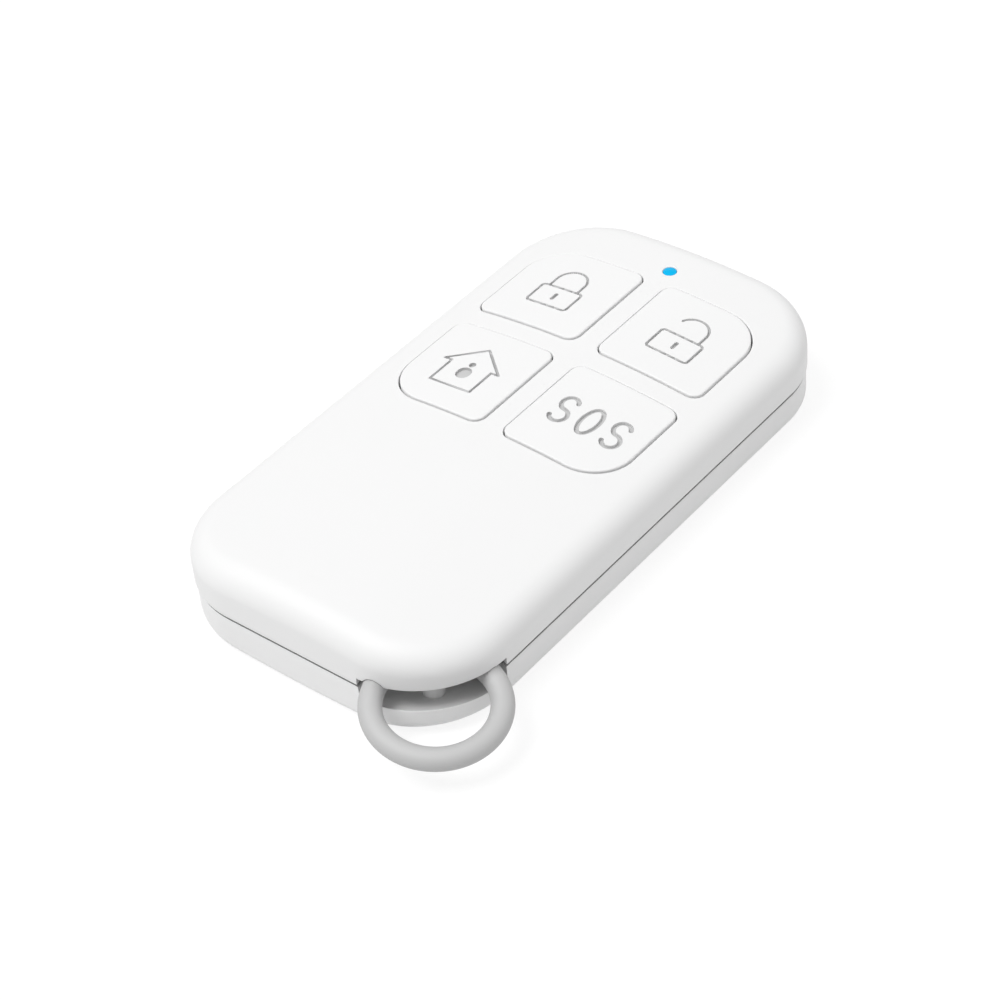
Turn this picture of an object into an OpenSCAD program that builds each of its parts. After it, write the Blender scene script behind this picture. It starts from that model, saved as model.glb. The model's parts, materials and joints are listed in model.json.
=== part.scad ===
// Wireless alarm key fob: a crowned two-part plastic case with four keys, a status light,
// a coin cell and a key ring that hangs from a post in one corner.
// Millimetres. The origin is the middle of the flat strip under the base, +Y points to the
// status light, +Z points out of the key face.

/* [Case] */
// Width across the case
case_w = 32.4; // [31.6:0.1:34]
// Length of the case
case_l = 60; // [59:0.5:64]
// Height at the middle of the crowned top
case_h = 9.75; // [9.65:0.1:10.85]
// Height of the parting line above the base
seam_z = 4.4; // [4.35:0.05:4.6]
// Dark gap that shows between the two covers
seam_gap = 0.4; // [0.1:0.05:0.4]
// Plan radius of the four corners
corner_r = 8.9; // [8:0.1:9.5]
// Radius of the rounded edge round the top
edge_r = 2.4; // [1.8:0.1:2.8]
// Radius of the crown across the width
crown_r = 91; // [80:1:120]
// Radius of the edge round the base
base_r = 1.2; // [0.6:0.1:1.3]
// Radius of the crown across the base
base_crown_r = 150; // [120:5:200]
// Width of the flat strip along the base, which the case lies on
base_flat_w = 8.5; // [7:0.5:10]
// How far the rear cover is set in under the front cover
rear_inset = 0.13; // [0.05:0.01:0.25]
// Side wall thickness of the front cover
wall_t = 1.2; // [1:0.1:1.4]
// Thickness of the front cover's top
top_t = 1.3; // [1.1:0.1:1.4]
// Height of the rear cover's floor inside
floor_z = 1.65; // [1.55:0.05:1.75]

/* [Keys] */
// Width of a key
key_w = 11.3; // [10.8:0.05:11.4]
// Length of a key
key_l = 11.55; // [11:0.05:11.6]
// Radius of the one large corner of each key
key_big_r = 4.2; // [3:0.1:5]
// Radius of the other three corners of each key
key_small_r = 1.1; // [0.8:0.1:1.6]
// Gap between a key and its opening
key_gap = 0.15; // [0.1:0.01:0.2]
// Spacing of the two columns of keys
key_pitch_x = 13.77; // [13.6:0.01:14]
// Spacing of the two rows of keys
key_pitch_y = 13.98; // [13.8:0.01:14.2]
// Place of the middle of the four keys along the case
key_mid_y = 10.235; // [9:0.05:10.5]
// How far the keys stand proud of the case
key_proud = 0.15; // [0.05:0.01:0.25]
// Width of the flange that holds a key in
key_flange = 0.75; // [0.6:0.05:0.85]

/* [Status light] */
// Diameter of the light pipe
light_d = 1.3; // [1:0.1:1.6]
// Place of the light along the case
light_y = 25; // [24.8:0.1:25.4]

/* [Key ring] */
// Diameter of the ring's wire
wire_d = 2.05; // [1.9:0.05:2.1]
// Diameter of the ring at the middle of its wire
ring_d = 10.9; // [10.8:0.05:11]
// How far the ring's centre lies outside the case corner
ring_out = 0.67; // [0.6:0.01:0.75]
// Height of the ring's centre
ring_z = 4.25; // [4.23:0.01:4.29]
// Angle by which the ring's outer end hangs down
ring_droop = 7.9; // [7.5:0.1:8.2]
// Sideways lean of the ring in its slot
ring_lean = -3; // [-3:0.5:0]
// Diameter of the post that the ring hangs on
post_d = 2; // [1.8:0.1:2.1]
// Distance of the post behind the case corner
post_in = 2.45; // [2.4:0.05:2.5]

/* [Electronics] */
// Thickness of the circuit board
board_t = 1; // [0.8:0.1:1]
// Height of the board's underside
board_z = 4.75; // [4.75:0.05:4.85]
// Diameter of the coin cell
cell_d = 20; // [16:0.5:20]
// Thickness of the coin cell
cell_t = 2.5; // [1.6:0.1:2.5]
// Place of the coin cell along the case
cell_y = -13; // [-14:0.5:-12.5]
// Width of a key switch
switch_w = 5.2; // [4.5:0.1:5.2]

/* [Hidden] */
$fn = 72;
cut = 0.01;             // overshoot of a cutting solid past a face

half_w = case_w / 2;
half_l = case_l / 2;
far = 2 * case_l;       // longer than anything in the case

// Joint between the covers: a tongue on the rear cover stands inside the front cover's wall
tongue_gap = 0.08;
tongue_t = 0.6;
tongue_h = 1.1;
tongue_in = wall_t + tongue_gap;
inner_in = tongue_in + tongue_t;
bead_r = 0.3;
bead_l = 6;
bead_ys = [-8, 16];
tongue_root = 1;        // how far the tongue is sunk in the rear cover's wall
notch_w = 7;            // thumb-nail notch at the seam of the light's end
notch_h = 0.7;
notch_in = 0.9;

// Posts inside the case
press_posts = [[9.5, 25.4], [11.5, -6]];
press_post_r = 0.9;
press_gap = 0.05;       // between a front cover post and the board
board_posts = [[11, 22.5], [-11, 22.5], [11.8, 1], [-11.8, 1], [-10.3, -23.3]];
board_post_r = 1.5;
board_pins = [board_posts[0], board_posts[4]];
pin_r = 0.8;
pin_gap = 0.1;
pin_h = 0.4;            // above the board

// Keys: column and row signs also point at each key's large corner
lock_at = [-1, 1];
unlock_at = [1, 1];
home_at = [-1, -1];
sos_at = [1, -1];
flange_gap = 0.08;
flange_t = 0.6;
key_top_t = 1.35;
key_wall = 1.3;
inner_r = 0.4;          // corners of the hollow under a key
boss_r = 1.7;
boss_root = 0.2;        // how far the boss is sunk in the key's roof

// Key switches on the board
board_top = board_z + board_t;
switch_h = 1.2;
switch_floor = 0.15;
switch_chamfer = 0.66;  // from the switch's middle to its cut corners, in switch widths
switch_lead = [1, 0.7, 0.2];
switch_lead_y = 1.5;
plunger_r = 1.25;
plunger_gap = 0.05;
plunger_top = board_top + 1.68;
plunger_low = board_top + 0.5;
boss_low = plunger_top + 0.02;

// Key ring corner: local +X runs out of the corner along its diagonal, local +Y along the slot
apex_in = corner_r * (1 - sqrt(0.5));
apex = [half_w - apex_in, -half_l + apex_in];
slot_low = 2.9;
slot_high = 5.37;
pocket_r = 7.05;
pocket_high = 6.13;
pocket_wall = 0.9;
lip_t = 0.9;
relief = 0.09;
leg_reach = 2.3;        // from the ring's centre back to where its legs cross the wall
leg_angle = acos(-leg_reach / (ring_d / 2));
leg_relief_l = 2.4 * wire_d;
rib_t = 0.8;
rib_pitch = 3.4;
post_root = 1;          // how far the ring's post is sunk in the pocket's floor
post_gap = 0.06;        // between the post's top and the front cover

// Stations round the case: [centre x, centre y, direction of the outward normal]
corner_steps = 14;
end_steps = 8;
fillet_steps = 7;
function corner_arc(sx, a0) = [
    for (i = [0 : corner_steps])
        [sx * (half_w - corner_r), half_l - corner_r, a0 + 90 * i / corner_steps]
];
function end_row() = [
    for (i = [1 : end_steps - 1])
        [(half_w - corner_r) * (1 - 2 * i / end_steps), half_l - corner_r, 90]
];
far_half = concat(corner_arc(1, 0), end_row(), corner_arc(-1, 90));
near_half = [for (i = [len(far_half) - 1 : -1 : 0]) [far_half[i].x, -far_half[i].y, -far_half[i].z]];
stations = concat(far_half, near_half);

// A ball of the edge's radius r rolls between the wall and a crown, a large cylinder along the
// case. Its centre is set in from both, and the edge is the arc from the wall's normal to the
// crown's normal. The crown's axis is below the top and above the base.
crown_z0 = case_h - crown_r;
base_z0 = sqrt(base_crown_r ^ 2 - (base_flat_w / 2) ^ 2);
function wall_point(s, z, inset) =
    [s.x + (corner_r - inset) * cos(s.z), s.y + (corner_r - inset) * sin(s.z), z];
function ball_centre(s, inset, r, crown, axis_z) =
    let (
        flat = wall_point(s, 0, inset + r),
        rise = sqrt((crown - r) ^ 2 - flat.x ^ 2)
    )
    [flat.x, flat.y, axis_z < 0 ? axis_z + rise : axis_z - rise];
function between(n, m, t) =
    let (angle = acos(n * m))
    (sin((1 - t) * angle) * n + sin(t * angle) * m) / sin(angle);
function edge_point(s, t, inset, r, crown, axis_z) =
    let (c = ball_centre(s, inset, r, crown, axis_z))
    c + r * between([cos(s.z), sin(s.z), 0], [c.x, 0, c.z - axis_z] / (crown - r), t);
function turned(face) = [for (i = [len(face) - 1 : -1 : 0]) face[i]];

// Outside of a cover from the seam at z: straight wall, rolled edge, then strips across the crown
module cover_skin(z, inset, r, crown, axis_z) {
    count = len(stations);
    half = len(far_half);
    rings = concat(
        [[for (s = stations) wall_point(s, z, inset)]],
        [for (k = [0 : fillet_steps])
            [for (s = stations) edge_point(s, k / fillet_steps, inset, r, crown, axis_z)]]
    );
    last = (len(rings) - 1) * count;
    walls = [
        for (k = [0 : len(rings) - 2], i = [0 : count - 1])
            let (j = (i + 1) % count)
            [k * count + i, (k + 1) * count + i, (k + 1) * count + j, k * count + j]
    ];
    strips = [
        for (i = [0 : half - 2])
            [last + i, last + count - 1 - i, last + count - 2 - i, last + i + 1]
    ];
    faces = concat(walls, strips, [[for (i = [0 : count - 1]) i]]);
    polyhedron(
        [for (ring = rings) each ring],
        axis_z < 0 ? faces : [for (face = faces) turned(face)]
    );
}

// Everything under the crown, raised or lowered by lift
module under_crown(lift) {
    translate([0, 0, crown_z0]) rotate([90, 0, 0])
        cylinder(r = crown_r + lift, h = far, center = true, $fn = 360);
}

// Plan outline of the case, set in all round
module case_plan(inset) {
    square([case_w - 2 * corner_r, case_l - 2 * inset], center = true);
    square([case_w - 2 * inset, case_l - 2 * corner_r], center = true);
    for (sx = [-1, 1], sy = [-1, 1])
        translate([sx * (half_w - corner_r), sy * (half_l - corner_r)]) circle(corner_r - inset);
}

module case_prism(inset, z0, z1) {
    translate([0, 0, z0]) linear_extrude(z1 - z0) case_plan(inset);
}

// Rear cover's outside, with the lowest part of its crown planed to a flat strip
module rear_skin(z) {
    intersection() {
        cover_skin(z, rear_inset, base_r, base_crown_r, base_z0);
        translate([-half_w, -half_l, 0]) cube([case_w, case_l, case_h]);
    }
}

// Children stand at the case's ring corner
module at_corner() {
    translate([apex.x, apex.y, 0]) rotate([0, 0, -45]) children();
}

// Round pocket about the ring's centre, between two heights
module pocket(r, z0, z1) {
    at_corner() translate([ring_out, 0, z0]) cylinder(r = r, h = z1 - z0);
}

// Children stand at the ring's centre, in the ring's own plane
module at_ring() {
    at_corner() translate([ring_out, 0, ring_z]) rotate([ring_lean, 0, 0]) rotate([0, ring_droop, 0])
        children();
}

// Room for the ring's two legs where they pass under the front cover's edge
module leg_reliefs() {
    at_ring() for (side = [-1, 1])
        rotate([0, 0, side * leg_angle]) translate([ring_d / 2, 0, 0]) rotate([90, 0, 0])
            cylinder(r = wire_d / 2 + relief, h = leg_relief_l, center = true);
}

// Plan of the key whose large corner points to +X +Y, grown all round
module key_plan(grow) {
    x = key_w / 2 + grow;
    y = key_l / 2 + grow;
    big = key_big_r + grow;
    small = max(key_small_r + grow, inner_r);
    polygon([
        [small - x, -y], [x - small, -y], [x, small - y], [x, y - big],
        [x - big, y], [small - x, y], [-x, y - small], [-x, small - y]
    ]);
    translate([x - big, y - big]) circle(big);
    for (c = [[-1, -1], [1, -1], [-1, 1]])
        translate([c.x * (x - small), c.y * (y - small)]) circle(small);
}

function key_place(at) = [at.x * key_pitch_x / 2, key_mid_y + at.y * key_pitch_y / 2];

module key_prism(at, grow, z0, z1) {
    place = key_place(at);
    translate([place.x, place.y, z0])
        mirror([at.x < 0 ? 1 : 0, 0, 0]) mirror([0, at.y < 0 ? 1 : 0, 0])
            linear_extrude(z1 - z0) key_plan(grow);
}

// Part of a key's plan below a level of the crown
module key_block(at, grow, lift) {
    intersection() {
        key_prism(at, grow, board_z, case_h + 1);
        under_crown(lift);
    }
}

// A hard cap with a thin top, a holding flange under the case and a boss over its switch
module key_cap(at) {
    place = key_place(at);
    flange_high = -top_t - flange_gap;
    roof = key_proud - key_top_t;
    difference() {
        union() {
            key_block(at, 0, key_proud);
            key_block(at, key_flange, flange_high);
        }
        under_crown(flange_high - flange_t);
        key_block(at, -key_wall, roof);
    }
    intersection() {
        translate([place.x, place.y, boss_low]) cylinder(r = boss_r, h = case_h);
        under_crown(roof + boss_root);
    }
}

// Ribs that hang from the top over the ring's inner arc and stop it tipping further
module pocket_ribs() {
    intersection() {
        pocket(pocket_r, pocket_high, case_h);
        case_prism(wall_t - cut, pocket_high, case_h);
        under_crown(-top_t + cut);
        at_corner() for (i = [-1 : 1])
            translate([-2 * pocket_r, i * rib_pitch - rib_t / 2, 0]) cube([3 * pocket_r, rib_t, case_h]);
    }
}

// Posts that press the board down
module front_posts() {
    intersection() {
        for (p = press_posts, sx = [-1, 1])
            translate([sx * p.x, p.y, board_top + press_gap]) cylinder(r = press_post_r, h = case_h);
        under_crown(-top_t + cut);
    }
}

// Crowned shell with the ring's pocket, the openings for the keys and light, and inner posts
module front_cover() {
    low = seam_z + seam_gap / 2;
    color("white") {
        difference() {
            cover_skin(low, 0, edge_r, crown_r, crown_z0);
            difference() {
                intersection() {
                    case_prism(wall_t, 0, case_h);
                    under_crown(-top_t);
                }
                pocket(pocket_r + pocket_wall, 0, case_h);
            }
            intersection() {
                case_prism(lip_t, 0, pocket_high);
                pocket(pocket_r, 0, pocket_high);
            }
            intersection() {
                case_prism(wall_t, pocket_high - cut, case_h);
                under_crown(-top_t);
                pocket(pocket_r, 0, case_h);
            }
            pocket(pocket_r, 0, slot_high);
            leg_reliefs();
            for (at = [lock_at, unlock_at, home_at, sos_at]) key_prism(at, key_gap, board_z, case_h + 1);
            translate([0, light_y, board_top]) cylinder(d = light_d + 2 * light_gap, h = case_h);
            snap_beads(bead_r + tongue_gap);
        }
        pocket_ribs();
        front_posts();
    }
}

// Round beads on the tongue that snap into the front cover's wall
module snap_beads(r) {
    for (sx = [-1, 1], y = bead_ys)
        translate([sx * (half_w - tongue_in), y, seam_z + tongue_h / 2]) rotate([90, 0, 0])
            cylinder(r = r, h = bead_l + 2 * (r - bead_r), center = true);
}

// Shell with a tongue at the seam, a pocket for the ring, and posts that carry the board
module rear_cover() {
    high = seam_z - seam_gap / 2;
    color("whitesmoke") {
        difference() {
            union() {
                rear_skin(high);
                difference() {
                    case_prism(tongue_in, high - tongue_root, seam_z + tongue_h);
                    pocket(pocket_r + pocket_wall + tongue_gap, 0, case_h);
                }
                snap_beads(bead_r);
            }
            difference() {
                case_prism(inner_in, floor_z, case_h);
                pocket(pocket_r + pocket_wall, 0, case_h);
            }
            pocket(pocket_r, slot_low, case_h);
            translate([-notch_w / 2, half_l - rear_inset - notch_in, high - notch_h])
                cube([notch_w, 2 * notch_in, notch_h + cut]);
        }
        at_corner() translate([-post_in, 0, slot_low - post_root])
            cylinder(d = post_d, h = pocket_high - post_gap - slot_low + post_root);
        for (p = board_posts)
            translate([p.x, p.y, floor_z - cut]) cylinder(r = board_post_r, h = board_z - floor_z + cut);
        for (p = board_pins)
            translate([p.x, p.y, floor_z]) cylinder(r = pin_r, h = board_top + pin_h - floor_z);
    }
}

module lock_button() { color("white") key_cap(lock_at); }
module unlock_button() { color("white") key_cap(unlock_at); }
module home_button() { color("white") key_cap(home_at); }
module sos_button() { color("white") key_cap(sos_at); }

// Status light: a lamp on the board and a clear rod above it, held by a collar under the case
light_gap = 0.03;
light_proud = 0.04;
collar_h = 0.8;
collar_gap = 0.05;
led_base = [2, 1.2, 0.45];
led_lens = [1.3, 1.2, 0.35];
led_gap = 0.15;         // between the lamp and the rod
led_h = led_base.z + led_lens.z;

module light_pipe() {
    collar_high = case_h - top_t - collar_gap;
    color("deepskyblue") intersection() {
        translate([0, light_y, 0]) {
            translate([0, 0, board_top + led_h + led_gap]) cylinder(d = light_d, h = case_h);
            translate([0, 0, collar_high - collar_h]) cylinder(d = 2 * light_d, h = collar_h);
        }
        under_crown(light_proud);
    }
}

module status_led() {
    color("lightyellow") translate([0, light_y, board_top]) {
        translate([0, 0, led_base.z / 2]) cube(led_base, center = true);
        translate([0, 0, led_h - led_lens.z / 2]) cube(led_lens, center = true);
    }
}

// Board that fills the case, cut away round the ring's pocket
module circuit_board() {
    edge_gap = 0.15;
    pocket_gap = 0.3;
    color("darkgreen") difference() {
        case_prism(inner_in + edge_gap, board_z, board_top);
        pocket(pocket_r + pocket_wall + pocket_gap, board_z - cut, board_top + cut);
        for (p = board_pins)
            translate([p.x, p.y, board_z - cut]) cylinder(r = pin_r + pin_gap, h = board_t + 2 * cut);
    }
}

// Square tactile switch with a round well for its plunger and four flat leads
module key_switch(at) {
    place = key_place(at);
    color("dimgray") translate([place.x, place.y, board_top]) {
        difference() {
            translate([-switch_w / 2, -switch_w / 2, 0]) cube([switch_w, switch_w, switch_h]);
            for (a = [45 : 90 : 315])
                rotate([0, 0, a]) translate([switch_w * switch_chamfer, -switch_w / 2, -cut])
                    cube([switch_w, switch_w, switch_h + 2 * cut]);
            translate([0, 0, switch_floor]) cylinder(r = plunger_r + plunger_gap, h = switch_h);
        }
        for (sx = [-1, 1], sy = [-1, 1])
            translate([sx * (switch_w + switch_lead.x) / 2, sy * switch_lead_y, switch_lead.z / 2])
                cube(switch_lead, center = true);
    }
}

module lock_switch() { key_switch(lock_at); }
module unlock_switch() { key_switch(unlock_at); }
module home_switch() { key_switch(home_at); }
module sos_switch() { key_switch(sos_at); }

module key_plunger(at) {
    place = key_place(at);
    color("white") translate([place.x, place.y, plunger_low])
        cylinder(r = plunger_r, h = plunger_top - plunger_low);
}

module lock_plunger() { key_plunger(lock_at); }
module unlock_plunger() { key_plunger(unlock_at); }
module home_plunger() { key_plunger(home_at); }
module sos_plunger() { key_plunger(sos_at); }

// Eight-lead chip that codes the key presses
chip_at = [-6.5, -12];
chip_size = [3.9, 4.9, 1.4];
chip_lift = 0.1;
chip_dot_at = [-1.2, 1.55];
chip_dot_r = 0.35;
chip_dot_depth = 0.1;
chip_leads = 4;         // along each side
chip_lead_pitch = 1.27;

module encoder_chip() {
    color("black") translate([chip_at.x, chip_at.y, board_top + chip_lift + chip_size.z / 2])
        difference() {
            cube(chip_size, center = true);
            translate([chip_dot_at.x, chip_dot_at.y, chip_size.z / 2 - chip_dot_depth])
                cylinder(r = chip_dot_r, h = chip_size.z);
        }
}

// One gull-wing lead: out of the chip's side, down in a slope, then flat on the board
module gull_lead() {
    width = 0.42;
    thick = 0.2;
    rise = 0.7;
    reach = 1.05;
    bend = 0.3;         // where the slope starts
    foot = 0.5;         // where the slope ends
    rotate([90, 0, 0]) linear_extrude(width, center = true) polygon([
        [0, rise], [bend, rise], [bend + thick, rise - thick / 2], [foot + thick, thick], [reach, thick],
        [reach, 0], [foot, 0], [bend, rise - thick], [0, rise - thick]
    ]);
}

module encoder_leads() {
    color("silver") translate([chip_at.x, chip_at.y, board_top])
        for (side = [0, 180], i = [0 : chip_leads - 1])
            rotate([0, 0, side])
                translate([chip_size.x / 2, (i - (chip_leads - 1) / 2) * chip_lead_pitch, 0]) gull_lead();
}

// Small three-lead transistor of the radio stage
module rf_transistor() {
    place = [2.6, -9];
    body = [1.3, 2.9, 1];
    lead = [0.62, 0.4, 0.3];
    pitch = 0.95;
    color("black") translate([place.x, place.y, board_top]) {
        translate([0, 0, chip_lift + body.z / 2]) cube(body, center = true);
        for (p = [[-1, -1], [-1, 1], [1, 0]])
            translate([p.x * pitch, p.y * pitch, lead.z / 2]) cube(lead, center = true);
    }
}

// Round metal can that sets the radio frequency
module saw_resonator() {
    place = [8, -10.5];
    color("gold") translate([place.x, place.y, board_top]) {
        cylinder(d = 6.2, h = 0.4);
        cylinder(d = 5.2, h = 1.8);
    }
}

// Flat copper loop on the board
module antenna_loop() {
    place = [-3.6, -23];
    loop = [19, 5.2];
    track_w = 1.2;
    track_t = 0.07;
    feed_x = 4.5;       // middle of the gap where the loop is fed
    feed_w = 1;
    color("orange") translate([place.x, place.y, board_top]) linear_extrude(track_t) difference() {
        square(loop, center = true);
        square([loop.x - 2 * track_w, loop.y - 2 * track_w], center = true);
        translate([feed_x, (loop.y - track_w) / 2]) square([feed_w, 2 * track_w], center = true);
    }
}

// Small chips that stand on the board: a row beside the encoder, one by each outer key column,
// one by the lamp, and the capacitors round the radio stage
module chips(size, places) {
    for (p = places) translate([p.x, p.y, board_top + size.z / 2]) cube(size, center = true);
}

module chip_resistors() {
    row = [for (i = [0 : 3]) [-1.6, -7 - 2.2 * i]];
    color("black") chips([1.6, 0.8, 0.5], concat(row, [[11.6, 10.2], [-11.6, 10.2], [2.9, 25]]));
}

module chip_capacitors() {
    color("tan") chips([1.6, 0.8, 0.8], [[2.6, -12.6], [2.6, -14.8], [5.2, -15.6], [7.8, -15.6], [0, 10.2]]);
}

// Coin cell: crimped can with the smaller cap upwards
strap_t = 0.25;
strap_gap = 0.06;       // between the clip's strap and the case's floor
strap_z = floor_z + strap_gap;
cell_z = strap_z + strap_t;

module coin_cell() {
    r = cell_d / 2;
    cap_r = r - 1.3;
    cap_h = 0.2;
    cap_chamfer = 0.3;
    rim = 0.35;
    crimp = 0.6;
    can_h = cell_t - cap_h;
    color("silver") translate([0, cell_y, cell_z]) rotate_extrude() polygon([
        [0, 0], [r - rim, 0], [r, rim], [r, can_h - rim], [r - crimp, can_h],
        [cap_r, can_h], [cap_r - cap_chamfer, cell_t], [0, cell_t]
    ]);
}

// Strap under the cell with two legs up to the board
module battery_clip() {
    strap_w = 8;
    leg_gap = 0.15;
    leg_x = cell_d / 2 + leg_gap;
    foot = 1.6;
    color("silver") translate([0, cell_y + strap_w / 2, 0]) rotate([90, 0, 0]) linear_extrude(strap_w)
        for (m = [0, 1]) mirror([m, 0]) {
            translate([0, strap_z]) square([leg_x + strap_t, strap_t]);
            translate([leg_x, strap_z]) square([strap_t, board_z - strap_z]);
            translate([leg_x, board_z - strap_t]) square([foot, strap_t]);
        }
}

// Bent leaf under the board that presses on the cell's cap
module negative_contact() {
    leaf_t = 0.12;
    leaf_w = 3;
    root_x = -4;        // soldered end
    bend_x = -2;        // where the leaf leaves the board
    tip_x = 1.6;
    tip_l = 0.4;        // turned-up end
    slope_t = 0.05;     // thickness of the sloping stretch along x
    high = board_z - leaf_t;
    low = cell_z + cell_t;
    color("gold") translate([0, cell_y + leaf_w / 2, 0]) rotate([90, 0, 0])
        linear_extrude(leaf_w) polygon([
        [root_x, board_z], [root_x, high], [bend_x, high], [0, low], [tip_x - tip_l, low],
        [tip_x, low + leaf_t], [slope_t, low + leaf_t], [bend_x + slope_t, board_z]
    ]);
}

// Plain round ring, hanging on the post with its inner arc inside the case
module key_ring() {
    color("silver") at_ring() rotate_extrude() translate([ring_d / 2, 0]) circle(d = wire_d);
}

front_cover();
rear_cover();
lock_button();
unlock_button();
home_button();
sos_button();
light_pipe();
status_led();
circuit_board();
lock_switch();
unlock_switch();
home_switch();
sos_switch();
lock_plunger();
unlock_plunger();
home_plunger();
sos_plunger();
encoder_chip();
encoder_leads();
rf_transistor();
saw_resonator();
antenna_loop();
chip_resistors();
chip_capacitors();
coin_cell();
battery_clip();
negative_contact();
key_ring();
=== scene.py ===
"""Wireless alarm key fob: moulded covers, engraved keys, a status light and a plated ring,
built around the packed solids and set on a pale studio floor. Lengths are in metres."""
import json
import math

import bmesh
import bpy
import numpy as np
from bpy.props import FloatProperty, FloatVectorProperty, PointerProperty
from mathutils import Matrix, Vector
from mathutils.geometry import delaunay_2d_cdt

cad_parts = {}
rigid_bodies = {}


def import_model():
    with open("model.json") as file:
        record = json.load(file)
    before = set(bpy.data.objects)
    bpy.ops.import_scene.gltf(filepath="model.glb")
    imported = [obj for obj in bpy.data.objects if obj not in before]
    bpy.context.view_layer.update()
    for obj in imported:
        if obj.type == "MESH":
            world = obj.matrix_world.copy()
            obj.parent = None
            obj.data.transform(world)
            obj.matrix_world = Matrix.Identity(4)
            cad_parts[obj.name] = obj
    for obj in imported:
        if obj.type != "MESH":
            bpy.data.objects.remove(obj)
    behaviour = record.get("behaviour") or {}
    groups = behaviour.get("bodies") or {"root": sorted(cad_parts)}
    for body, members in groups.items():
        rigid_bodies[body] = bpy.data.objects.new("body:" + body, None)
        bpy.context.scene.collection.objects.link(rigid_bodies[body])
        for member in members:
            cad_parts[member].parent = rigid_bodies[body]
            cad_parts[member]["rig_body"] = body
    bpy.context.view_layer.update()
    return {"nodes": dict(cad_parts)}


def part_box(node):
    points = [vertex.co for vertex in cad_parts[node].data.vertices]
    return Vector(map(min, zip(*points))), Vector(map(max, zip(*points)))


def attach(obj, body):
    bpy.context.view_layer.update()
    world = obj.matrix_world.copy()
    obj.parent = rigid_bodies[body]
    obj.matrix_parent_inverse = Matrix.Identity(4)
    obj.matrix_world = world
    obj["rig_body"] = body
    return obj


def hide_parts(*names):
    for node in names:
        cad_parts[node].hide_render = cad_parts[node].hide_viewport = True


bl_info = {
    "name": "Alarm key fob",
    "version": (1, 0, 0),
    "blender": (4, 5, 0),
    "location": "View3D > Sidebar > Key fob",
    "description": "Builds the covers, keys, light, ring and stage of a wireless alarm key fob",
    "category": "Object",
}

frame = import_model()
MM = 0.001

# The case's own box comes from the packed covers
FRONT_LOW, FRONT_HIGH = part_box("front_cover")
HALF_W = FRONT_HIGH.x
HALF_L = FRONT_HIGH.y
CASE_H = FRONT_HIGH.z
REAR_INSET = HALF_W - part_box("rear_cover")[1].x
LIGHT_LOW, LIGHT_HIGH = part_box("light_pipe")
LIGHT_AT = np.array([0.0, (LIGHT_LOW.y + LIGHT_HIGH.y) / 2])
COLLAR_R = (LIGHT_HIGH.x - LIGHT_LOW.x) / 2
LIGHT_R = COLLAR_R / 2
BOARD_LOW, BOARD_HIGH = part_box("circuit_board")

# Keys: the signs place each key and point at its one large corner
KEYS = {"lock": (-1, 1), "unlock": (1, 1), "home": (-1, -1), "sos": (1, -1)}
CORNER_SIGNS = ((1, 1), (-1, 1), (-1, -1), (1, -1))

# Fineness of the surfaces
ARC_STEP = 0.16 * MM
RUN_STEP = 0.8 * MM
KEY_STEP = 0.1 * MM
TOP_GRID = 1.0 * MM
KEY_GRID = 0.5 * MM
DRAFT = 0.02 * MM       # plan width of an upright inner wall, as the mould's draft leaves it
WELD = 0.002 * MM
QUARTER = math.pi / 2
ARC_LEAST = 6           # least steps round a corner
CIRCLE_LEAST = 24       # least points round a circle
STROKE_END = 9          # points over the round end of a stroke
FRONT_WALL_STEPS = 5
REAR_WALL_STEPS = 4
# Rows over each soft edge: at the seam, an opening, the top and base, a key and the light
RIM_ROWS = 4
LIP_ROWS = 6
ROLL_ROWS = 17
KEY_EDGE_ROWS = 9
LIGHT_EDGE_ROWS = 5
# Points round the light, round the ring and round its wire
LIGHT_ROUND = 64
RING_ROUND = 240
WIRE_ROUND = 64
NO_POINTS = np.empty((0, 2))

# Inside of the covers, hidden but for what shows through the ring's slot
TONGUE_IN = 1.28 * MM
TONGUE_T = 0.6 * MM
TONGUE_H = 1.1 * MM
TONGUE_GAP = 0.08 * MM
LIP_T = 0.9 * MM
POCKET_WALL = 0.9 * MM
POCKET_HIGH = 6.13 * MM
RIB_T = 0.8 * MM
RIB_PITCH = 3.4 * MM
POST_IN = 2.45 * MM
POST_R = 1.0 * MM
POST_HIGH = 6.07 * MM
NOTCH_HALF = 3.5 * MM
NOTCH_H = 0.7 * MM
NOTCH_IN = 0.9 * MM
BOARD_POSTS = np.array([[11, 22.5], [-11, 22.5], [11.8, 1], [-11.8, 1], [-10.3, -23.3]]) * MM
BOARD_POST_R = 1.5 * MM
PINNED_POSTS = BOARD_POSTS[[0, 4]]
PIN_R = 0.8 * MM
PIN_H = 0.4 * MM
PRESS_POSTS = np.array([[9.5, 25.4], [-9.5, 25.4], [11.5, -6], [-11.5, -6]]) * MM
PRESS_POST_R = 0.9 * MM
PRESS_GAP = 0.05 * MM
LEG_REACH = 2.3 * MM    # from the ring's centre back to where its legs pass under the cover
LEG_ROOM = 0.09 * MM
INTO_WALL = 0.8         # arcs inside a cover start at this share of its wall, so that they cut it
RIB_POINTS = 200

# Inside of the keys and the light pipe
KEY_TOP_T = 1.35 * MM
KEY_WALL_T = 1.0 * MM
FLANGE_T = 0.6 * MM
FLANGE_GAP = 0.08 * MM  # from a key's flange to the cover above it
BOSS_R = 1.7 * MM
BOSS_GAP = 0.02 * MM    # from a key's boss to the switch's plunger
COLLAR_T = 0.8 * MM
COLLAR_GAP = 0.05 * MM  # from the light's collar to the cover above it
LIGHT_GAP = 0.03 * MM   # between the light and its hole
LIGHT_SOFT = 0.08 * MM  # radius of the light's edge, and the rise of its dome

# Figure in the house
HEAD_D = 0.66 * MM
BODY_D = 1.46 * MM

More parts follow.
